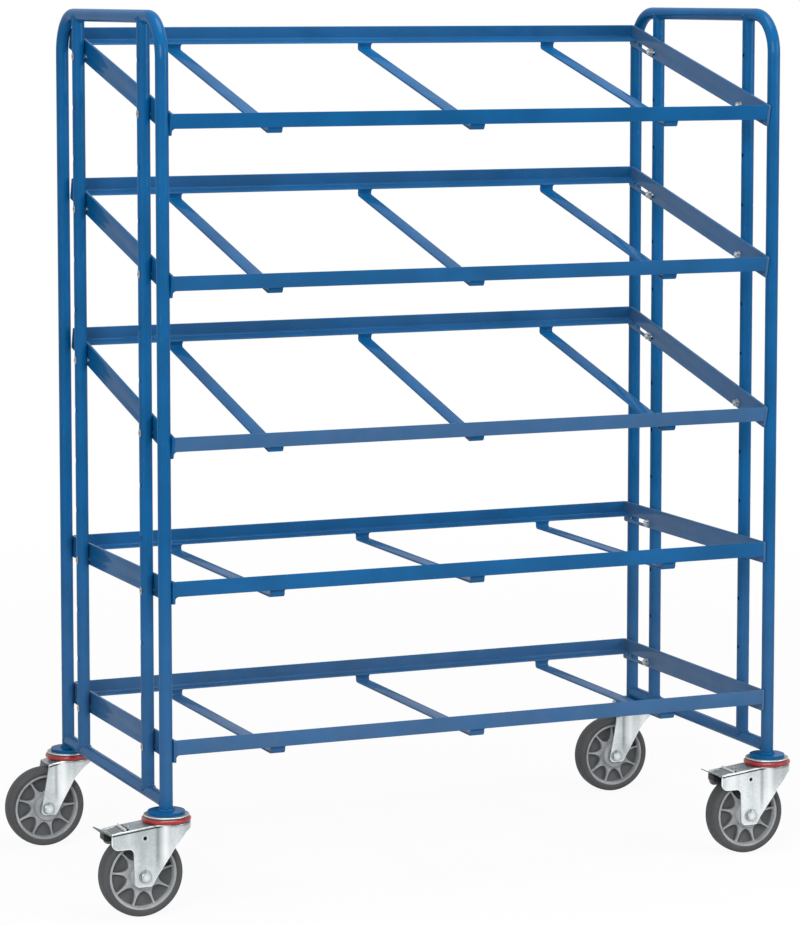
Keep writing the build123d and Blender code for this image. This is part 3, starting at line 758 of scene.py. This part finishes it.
def forkPlan(startX, outlineX, cheek):
    # half of the sheet from above: cheek, flare and the crown's arc; gives the columns' x and y, the
    # direction inwards and the x at which a column ends on the middle line
    flareX, flare, half = caster["flareX"], caster["flare"], caster["half"]
    coverEnds = [kind["coverEnd"] for kind in forkKinds.values()]
    even, aroundFold = np.linspace(startX, flareX, 84), cheek + np.linspace(-3, 5, 9)
    xs = np.concatenate([even, outlineX[outlineX < flareX], aroundFold, coverEnds])
    xs = np.unique(np.round(xs, 2))
    xs = xs[xs >= startX]
    plan = rounded([(-200, half), (cheek, half), (flareX, flare)], [0, 6, 0], 8, False)
    reach = caster["crownRadius"] - flareX
    arcRadius = (reach ** 2 + flare ** 2) / (2 * reach)
    centre = caster["crownRadius"] - arcRadius
    arc = np.linspace(np.arctan2(flare, flareX - centre), 0, 40)[1:]
    x = np.concatenate([xs, centre + arcRadius * np.cos(arc)])
    y = np.concatenate([np.interp(xs, plan[:, 0], plan[:, 1]), arcRadius * np.sin(arc)])
    inX, inY = np.concatenate([0 * xs, -np.cos(arc)]), np.concatenate([0 * xs - 1, -np.sin(arc)])
    return x, y, inX, inY, np.concatenate([xs, centre + 0 * arc])


def wallShade(wall, climb, tall, bent, cheek):
    # painted shade along each fold and round the axle, painted highlight along cut edges
    off, left = wall[..., 0] - cheek, tall - climb
    axleAway = np.hypot(wall[..., 0] + caster["trail"], wall[..., 2] - caster["radius"])
    cheekBands = band(off, *forkShade["cheekFold"]) + band(off, *forkShade["cheekShine"])
    return (band(left, *forkShade["topFold"]) * bent * (1 - ramp(off, *forkShade["flat"]))
            + band(left, *forkShade["crownEdge"]) * ramp(off, *forkShade["flared"])
            + cheekBands * ramp(wall[..., 2], *forkShade["high"]) + band(axleAway, *forkShade["axleRing"])
            + band(climb, *forkShade["cutEdge"]) * (tall > forkRows["tall"])
            + band(wall[..., 0] - wall[0, 0, 0], *forkShade["cutEdge"]))


def roundHole(wall, pivot):
    # on both cheeks the grid's square ring round the pivot becomes the round hole and the steps beyond it
    # blend back; gives the mask of what lies in the hole
    columns = np.arange(wall.shape[1])
    fold = np.minimum(columns, columns[::-1])
    gap = np.linalg.norm(wall[..., ::2] - pivot, axis=-1)
    row, column = np.unravel_index(np.argmin(gap), gap.shape)
    down, over = np.arange(len(wall))[:, None] - row, (fold - fold[column])[None]
    steps, hole, blend = np.maximum(np.abs(down), np.abs(over)), forkRows["hole"], forkRows["blend"]
    turn = np.arctan2(down + 0 * over, over + 0 * down)
    ring = pivot + caster["pivotHole"] / hole * steps[..., None] * np.stack([np.cos(turn), np.sin(turn)], -1)
    share = np.clip((blend - steps) / (blend - hole), 0, 1)[..., None]
    wall[..., ::2] += share * (ring - wall[..., ::2])
    return steps <= hole


def forkShape(braked):
    # columns follow the plan of the bent sheet from cheek to cheek; rows climb the wall, turn over the top
    # bend and run in to the middle line; the second result is the painted shade and highlight of each fold
    # and edge
    kind = forkKinds["braked" if braked else "plain"]
    cheek, (endX, endZ), crown = kind["cheek"], kind["corners"][0], caster["crown"]
    outline = rounded(kind["corners"], kind["radii"], 8)
    first, last = int(np.argmin(outline[:, 0] + 1e-4 * outline[:, 1])), int(np.argmax(outline[:, 0]))
    lower = np.roll(outline, -first, 0)[: (last - first) % len(outline) + 1]
    (startX, startZ), lowerX, lowerZ = lower[0], lower[:, 0], lower[:, 1]
    x, y, inX, inY, spine = forkPlan(startX, lowerX, cheek)
    slope = (crown - endZ) / (caster["crownStart"] - endX)
    bent = x >= endX - 1e-6
    top = np.minimum(crown, crown + (x - caster["crownStart"]) * slope)
    top = np.where(bent, top, np.interp(x, [startX, endX], [startZ, endZ]))
    wallTop = np.where(bent, top - caster["bend"], top)
    low = np.minimum(np.interp(x, lowerX, lowerZ), wallTop - 0.02)
    mirrored = [np.concatenate([v, v[-2::-1]]) for v in (x, inX, low, wallTop, spine, bent)]
    x, inX, low, wallTop, spine, bent = mirrored
    y, inY = [np.concatenate([v, -v[-2::-1]]) for v in (y, inY)]
    tall = wallTop - low
    near = np.minimum(1, tall / forkRows["tall"])
    climb = np.vstack([np.linspace(0, 1, forkRows["count"])[:, None] * (tall - forkRows["fineFrom"] * near),
                       tall - near * np.array(forkRows["fine"])[:, None]])
    wall = np.stack([x + 0 * climb, y + 0 * climb, low + climb], -1)
    line = wallShade(wall, climb, tall, bent, cheek)
    r = caster["bend"] * bent
    a = np.linspace(0, pi / 2, 7)[1:, None]
    inside, rise = r * (1 - np.cos(a)), r * np.sin(a)
    bend = np.stack([x + inX * inside, y + inY * inside, wallTop + rise], -1)
    t = np.linspace(0, 1, 15)[1:, None, None]
    cover = bend[-1] + t * (np.stack([spine, 0 * spine, bend[-1, :, 2]], -1) - bend[-1])
    # painted shade on the top bend and the cover
    bendLine = forkShade["bend"] * ramp(x - cheek, *forkShade["flared"]) + np.zeros((len(bend), 1))
    coverLine = np.full(cover.shape[:2], forkShade["cover"])
    keep = np.ones((len(wall) + len(bend) + len(cover) - 1, len(x) - 1), bool)
    column = np.minimum(x[:-1], x[1:])
    keep[len(wall) - 1:] &= column >= endX - 1e-3
    keep[len(wall) + len(bend) - 1:] &= column >= kind["coverEnd"] - 1e-3
    if braked:  # holes for the pedal's pins, and a pressed knob in front of the pedal
        pivot = np.array([-caster["trail"], caster["pivot"]])
        hole = roundHole(wall, pivot)
        keep[: len(wall) - 1] &= ~(hole[:-1, :-1] & hole[1:, :-1] & hole[:-1, 1:] & hole[1:, 1:])
        # painted highlight ring round the pivot hole
        line += band(np.linalg.norm(wall[..., ::2] - pivot, axis=-1), *forkShade["pivotRing"])
        knobAway = np.hypot(cover[..., 0] - caster["knobX"], cover[..., 1])
        cover[..., 2] += caster["knob"] * np.exp(-(knobAway / caster["knobRadius"]) ** 4)
        # painted shadow ring round the knob and a painted highlight on its top
        shine, within = forkShade["knobTop"]
        coverLine += band(knobAway, *forkShade["knobRing"]) + shine * (knobAway < within)
    points, shade = np.concatenate([wall, bend, cover]), np.concatenate([line, bendLine, coverLine])
    return grid(points[:, ::-1], keep=keep[:, ::-1]), np.clip(shade, -1, 1)[:, ::-1].ravel()


# wheel: the tyre's tread is a shallow parabola between two shoulders; rib widths are exponentials
tyreTread = dict(half=12.0, crown=0.9)
shoulder = rounded([(66.05, -17.5), (70, -19.5), (76.6, -18.6), (79.1, -13.0)], [0, 3, 5, 0], 6, False)
treadY = np.linspace(-tyreTread["half"], tyreTread["half"], 17)
treadRadius = caster["radius"] - tyreTread["crown"] * (treadY / tyreTread["half"]) ** 2
tyreProfile = np.vstack([shoulder, np.stack([treadRadius, treadY], -1), (shoulder * [1, -1])[::-1]])
rimHalf = rounded([(66, 0), (66, 17.5), (61.5, 17.5), (58, 5.5), (40, 4.2), (27.5, 5.0), (25.4, 23.4),
                   (16.6, 24), (16, 14), (13, 14), (13, 0)],
                  [0, 0.8, 1.0, 2.5, 0, 2.5, 1.2, 0.5, 0, 0.5, 0], 4, False)
rimProfile = np.vstack([rimHalf, (rimHalf * [1, -1])[::-1][1:-1]])
rib = dict(count=9, start=24.0, end=60.0, half=1.45, hubWide=9.4, hubEnd=29.0, hubFall=6.4,
           rimWide=2.0, rimFall=1.6,
           section=[(-1.25, 3.6), (-1.0, 12.6), (-0.72, 13.8), (0.72, 13.8), (1.0, 12.6), (1.25, 3.6)])


def spokesShape(turn):
    # ribs on both sides of the web: drafted bars that widen towards the hub and a little at the rim
    r = np.linspace(rib["start"], rib["end"], 31)[:, None]
    wide = rib["half"] + rib["hubWide"] * np.exp(-np.clip(r - rib["hubEnd"], 0, None) / rib["hubFall"])
    wide = wide + rib["rimWide"] * np.exp(-(rib["end"] - r) / rib["rimFall"])
    across, height = np.array(rib["section"]).T
    bar = grid(np.stack([r + 0 * across, wide * across, 0 * r + height], -1), wrapV=True, caps=True)
    angles = np.radians(turn + 360 / rib["count"] * np.arange(rib["count"]))
    spots = [axes((0, 0, 0), (np.cos(a), 0, np.sin(a)), (0, -side, 0)) for side in (1, -1) for a in angles]
    return joined([bar.at(spot) for spot in spots])


# swivel head and axle
turnSteps, tyreSteps, rimSteps = 96, 160, 144
topPlateProfile = rounded([(6.05, 185.5), (43.5, 185.5), (43.5, 190), (37.6, 190), (36.2, 190), (34.5, 190),
                           (6.05, 190)], [0, 0.6, 2.2, 0, 0, 0, 0], 5)
plateHeight = topPlateProfile[:, 1]
# painted light: top as painted reflection and shadow, rim as painted highlight, side as painted shade
plateShade = dict(top=0.35, rim=-0.35, under=0.8)
topPlateShade = np.where(plateHeight > 188.0, plateShade["rim"], plateShade["under"])
topPlateShade = np.where(plateHeight > 189.8, plateShade["top"], topPlateShade)
sealProfile = rounded([(37.6, 177.6), (44.4, 177.6), (46.7, 179.4), (46.7, 183.0), (43.6, 185.45),
                       (37.6, 185.45)], [0, 0.8, 1.6, 1.6, 1.0, 0], 5)
axle = dict(flats=19.0, head=7.5, half=30.0, rod=6.0, rodEnd=34.0, tip=6.5, pitch=1.75, bore=6.05, sleeve=9.0,
            sleeveLength=2.7, sleeveAt=(-27.0, 24.3), headShade=[0, 0.6, 0.4, 0.6, 0.3, -0.4],
            nutShade=[0.4, 0.1, 0.6, 0.6, 0.1, 0.4], plainShade=0.5)


def axleShape():
    # hexagon head, nut, rod with a threaded end and two spacers; the second result is the painted shade and
    # highlight of its rows
    head = hexHead(axle["flats"], axle["head"]).at(moved(0, 0, axle["half"]))
    nut = nutShape(axle["flats"], axle["head"], axle["bore"]).at(moved(0, 0, -axle["half"] - axle["head"]))
    ends = np.array([[0, 0, axle["half"]], [0, 0, -axle["rodEnd"]]])
    rod = sweep(circle(axle["rod"], 28), ends, [1.0, 0, 0], [0, 1.0, 0])
    stud = threadedEnd(axle["rod"], axle["rodEnd"], axle["tip"], axle["pitch"])
    stud = stud.at(axes((0, 0, 0), (1, 0, 0), (0, 0, -1)))
    spacers = [sleeve(axle["bore"], axle["sleeve"], z, axle["sleeveLength"], 40) for z in axle["sleeveAt"]]
    whole = joined([head, nut, rod, stud] + spacers)
    shade = np.repeat(axle["headShade"] + axle["nutShade"], hexEnd["sides"])
    return whole, np.pad(shade, (0, len(whole.points) - len(shade)), constant_values=axle["plainShade"])


# brake of the front casters: pedal sheet with ribs, ears with hollow pins, block
pedal = dict(half=25.6, sheet=1.6, step=(-88.5, 173.6), front=(-90.0, 168.4), rear=(-118.0, 163.2),
             tip=(-137.6, 172.4), corner=6.0, rib=1.1, ribs=(-97.0, -102.4, -107.8, -113.2), ribHalf=20.0,
             treadRear=-115.0, treadFront=-93.0, borderAt=22.6, lipFrom=-119.0)
# pedal shade: above 0 painted shade in the grooves, on the lip and at the step's foot, below 0 painted
# highlight
pedalShade = dict(plain=0.05, between=0.55, border=-0.8, lip=0.80, stepEdge=(-0.6, -89.0, 0.8),
                  stepFoot=(0.9, -91.6, 1.4))
# the pins' shade darkens them nearly to black as painted shadow in their bores
ear = dict(sheet=3.0, edge=0.4, at=24.1, hole=4.05, shades=[0.2, 0.95])  # shades of ears and pins
earOutline = rounded([(-44.4, 157.5), (-56, 161.2), (-84, 166.0), (-115.5, 161.2), (-115.5, 154.0),
                      (-52, 145.2), (-44.4, 148.5)], [5, 6, 2, 1, 2, 6, 6], 6)
pinProfile = rounded([(2.6, 22.7), (3.7, 22.7), (3.7, 27.0), (3.3, 27.4), (2.6, 27.4)],
                     [0, 0, 0.3, 0.2, 0.2], 3)
shoe = dict(arch=87.0, angles=(119.0, 131.0), front=(-92.0, 165.4), heel=(-106.0, 149.5),
            rear=(-127.0, 164.4), top=(-118.0, 160.9), corner=4.5, width=25.0, edge=1.2)


def pedalSheet():
    # path of step, tread and lip by the pedal's width; ribs run across the tread inside a raised border;
    # the second result is its painted shade and highlight
    line = rounded([pedal["step"], pedal["front"], pedal["rear"], pedal["tip"]], [0, 2, 7, 0], 10, False)
    line, s = resampled(line, 130)
    x, z = line[:, :1], line[:, 1:]
    late = np.clip(s - s[-1] + pedal["corner"], 0, None)
    half = pedal["half"] - pedal["corner"] + np.sqrt(np.clip(pedal["corner"] ** 2 - late ** 2, 0, None))
    y = half[:, None] * np.linspace(-1, 1, 61)
    tread = ramp(x, pedal["treadRear"], 2) * ramp(-x, -pedal["treadFront"], 2)
    ribs = sum(band(x, 1.0, middle, 1.1) for middle in pedal["ribs"])
    ribs = ribs * ramp(-np.abs(y), -pedal["ribHalf"], 1.2)
    border = band(np.abs(y), 1.0, pedal["borderAt"], 1.1)
    raised = np.maximum(ribs, border)
    shade = tread * (pedalShade["between"] * (1 - raised) + pedalShade["border"] * border)
    shade = shade + pedalShade["plain"] + pedalShade["lip"] * ramp(-x, -pedal["lipFrom"], 4)
    shade = shade + band(x, *pedalShade["stepEdge"]) + band(x, *pedalShade["stepFoot"])
    return grid(np.stack([x + 0 * y, y, z + pedal["rib"] * tread * raised], -1)), shade.ravel()


def earsShape():
    # plates with hollow rivets level with the inside of the cheeks; the second result is their painted shade,
    # the rivets nearly black as painted shadow in their bores
    x, z = -caster["trail"], caster["pivot"]
    plate = flatPlate([earOutline, circle(ear["hole"], 24) + [x, z]], ear["sheet"], ear["edge"])
    ears = joined([plate.at(crosswise(0, y, 0)) for y in (-ear["at"], ear["at"])])
    rivet = turned(pinProfile, 32)
    pins = joined([rivet.at(axes((x, 0, z), (1, 0, 0), (0, way, 0))) for way in (-1, 1)])
    return ears + pins, np.repeat(ear["shades"], [len(ears.points), len(pins.points)])


def shoeShape():
    # block with an arch a little larger than the tyre
    a = np.radians(np.linspace(*shoe["angles"], 12))
    arch = shoe["arch"] * np.stack([np.cos(a), np.sin(a)], -1) + [-caster["trail"], caster["radius"]]
    (frontX, frontTop), (rearX, rearTop), bottom = shoe["front"], shoe["rear"], shoe["heel"][1]
    arch = arch[arch[:, 1] > bottom + 0.2]
    back = [shoe["heel"], (rearX, bottom), (rearX, rearTop), shoe["top"]]
    outline = np.vstack([[(frontX, frontTop), (frontX, arch[0, 1])], arch, [shoe["heel"]],
                         rounded(back, [0, shoe["corner"], 1.0, 0], 6, False)])
    return flatPlate([outline], shoe["width"], shoe["edge"]).at(crosswise(0, 0, 0))


def sheetModifiers(thickness, edge, **settings):
    solidify = dict(thickness=thickness * mm, offset=-1.0, **settings)
    bevel = dict(width=edge * mm, segments=2, limit_method="ANGLE", angle_limit=0.8, harden_normals=True)
    return [("SOLIDIFY", solidify), ("BEVEL", bevel)]


sheetSharp, forkEdge, pedalEdge = 30, 0.5, 0.3
forkFinish = sheetModifiers(caster["sheet"], forkEdge, use_even_offset=True)
pedalFinish = sheetModifiers(pedal["sheet"], pedalEdge)
topPlates, seals = [], []
for name, (x, y) in casterAt.items():
    braked = name.startswith("front")
    forkBody, wheelBody, brakeBody = f"{name}_fork", f"{name}_wheel", f"{name}_brake"
    spot = moved(x, y, 0)
    axleSpot = spot @ crosswise(-caster["trail"], 0, caster["radius"])
    topPlates.append(turned(topPlateProfile, turnSteps).at(spot))
    seals.append(turned(sealProfile, turnSteps).at(spot))
    fork, forkPaintedShade = forkShape(braked)
    makePiece(f"{name}_fork", fork.at(spot), zinc, forkBody, sheetSharp, forkFinish, forkPaintedShade)
    # rows holds the axle's painted shade and highlight
    axleWhole, rows = axleShape()
    makePiece(f"{name}_axle", axleWhole.at(axleSpot), zinc, forkBody, hexEnd["sharp"], line=rows)
    tyre = turned(tyreProfile, tyreSteps).at(axleSpot)
    makePiece(f"{name}_tyre", tyre, rubber, wheelBody)
    spokes = spokesShape(wheelTurn[name]).at(spot @ moved(-caster["trail"], 0, caster["radius"]))
    rim = turned(rimProfile, rimSteps).at(axleSpot) + spokes
    makePiece(f"{name}_rim", rim, rimGrey, wheelBody)
    if braked:
        # ribs holds the pedal's painted shade and highlight
        sheet, ribs = pedalSheet()
        makePiece(f"{name}_brake_pedal", sheet.at(spot), dull, brakeBody, sheetSharp, pedalFinish,
                  ribs)
        # depth holds the painted shade of ears and pins
        ears, depth = earsShape()
        makePiece(f"{name}_brake_ears", ears.at(spot), dull, brakeBody, line=depth)
        makePiece(f"{name}_brake_block", shoeShape().at(spot), black, brakeBody)
makePiece("caster_top_plates", joined(topPlates), dull, "frame",
          line=np.tile(topPlateShade, turnSteps * len(topPlates)))
makePiece("caster_seals", joined(seals), red, "frame")
print("casters done")

# studio; focal length and shift are in pixels of the photo, whose height takes up the sensor
photoHeight, sensor = 925, 36.0
studio = dict(focal=3553.144, shift=-132.5, position=(-2.73804, -6.50141, 1.72488), yaw=-0.3999513,
              pitch=-0.0951933, roll=-0.0000576, ambient=0.30, floorGlow=0.93, floorFade=(1.2, 4.5),
              floorGrey=0.70, floorHalf=40.0)
lamps = dict(keyLight=dict(place=(-3.7, -5.0, 3.3), target=(0, 0, 0.8), size=2.6, power=275),
             fillLight=dict(place=(4.2, -4.0, 2.6), target=(0, 0, 0.9), size=3.0, power=145),
             topLight=dict(place=(0.2, -0.6, 5.4), target=(0, 0, 0.8), size=3.4, power=190),
             leftStrip=dict(place=(-4.6, -2.2, 1.7), target=(0, 0, 1.0), size=0.12, power=30, height=3.2),
             rightStrip=dict(place=(3.4, -4.4, 1.6), target=(0, 0, 1.0), size=0.12, power=18, height=2.6))


def makeCamera():
    data = bpy.data.cameras.new("camera")
    data.sensor_width, data.lens = sensor, studio["focal"] * sensor / photoHeight
    data.shift_y = studio["shift"] / photoHeight
    data.clip_end = 100.0
    camera = linked("camera", data)
    aim = Euler((pi / 2 + studio["pitch"], 0, studio["yaw"])).to_matrix().to_4x4()
    roll = Matrix.Rotation(-studio["roll"], 4, "Z")
    camera.matrix_world = Matrix.Translation(studio["position"]) @ aim @ roll
    scene.camera = camera


def makeLight(name, place, target, size, power, height=0):
    # a round lamp, or an upright strip where it has a height
    data = bpy.data.lights.new(name, "AREA")
    data.shape, data.size, data.energy = "RECTANGLE" if height else "DISK", size, power
    data.size_y = height or size
    lamp = linked(name, data)
    direction = Vector(place) - Vector(target)
    lamp.matrix_world = Matrix.Translation(place) @ direction.to_track_quat("Z", "Y").to_matrix().to_4x4()


def whiteRays(f):
    # 1 where a ray comes from the camera, a reflection or a refraction
    kinds = ("Is Camera Ray", "Is Glossy Ray", "Is Transmission Ray")
    camera, glossy, through = [f.node("ShaderNodeLightPath", out=kind) for kind in kinds]
    return camera.orMore(glossy).orMore(through)


def makeWorld():
    # white to those rays, a plain level of light to all others
    f = Finish("studio", "worlds")
    level = {"Value": whiteRays(f), "To Min": studio["ambient"], "To Max": 1.0}
    strength = f.node("ShaderNodeMapRange", level)
    background = f.node("ShaderNodeBackground", {"Color": (1, 1, 1, 1), "Strength": strength})
    scene.world = f.close(background)


def makeFloor():
    # glows white to the same rays, a little less near the trolley, where it keeps the shadow
    f = Finish("studioFloor")
    away = f.node("ShaderNodeVectorMath", {0: f.place}, "Value", operation="LENGTH")
    start, end = studio["floorFade"]
    level = {"Value": away, "From Min": start, "From Max": end, "To Min": studio["floorGlow"], "To Max": 1.0}
    share = whiteRays(f) * f.node("ShaderNodeMapRange", level)
    diffuse = f.node("ShaderNodeBsdfDiffuse", {"Color": (*[studio["floorGrey"]] * 3, 1)})
    mixed = f.node("ShaderNodeMixShader", {0: share, 1: diffuse, 2: f.node("ShaderNodeEmission")})
    a = studio["floorHalf"]
    mesh = bpy.data.meshes.new("studioFloor")
    mesh.from_pydata([(-a, -a, 0), (a, -a, 0), (a, a, 0), (-a, a, 0)], [], [(0, 1, 2, 3)])
    mesh.materials.append(f.close(mixed))
    floor = linked("studioFloor", mesh)


makeCamera()
makeWorld()
makeFloor()
for name, lamp in lamps.items():
    makeLight(name, **lamp)
scene.view_settings.view_transform = "Standard"
print("studio done")

bpy.context.view_layer.update()
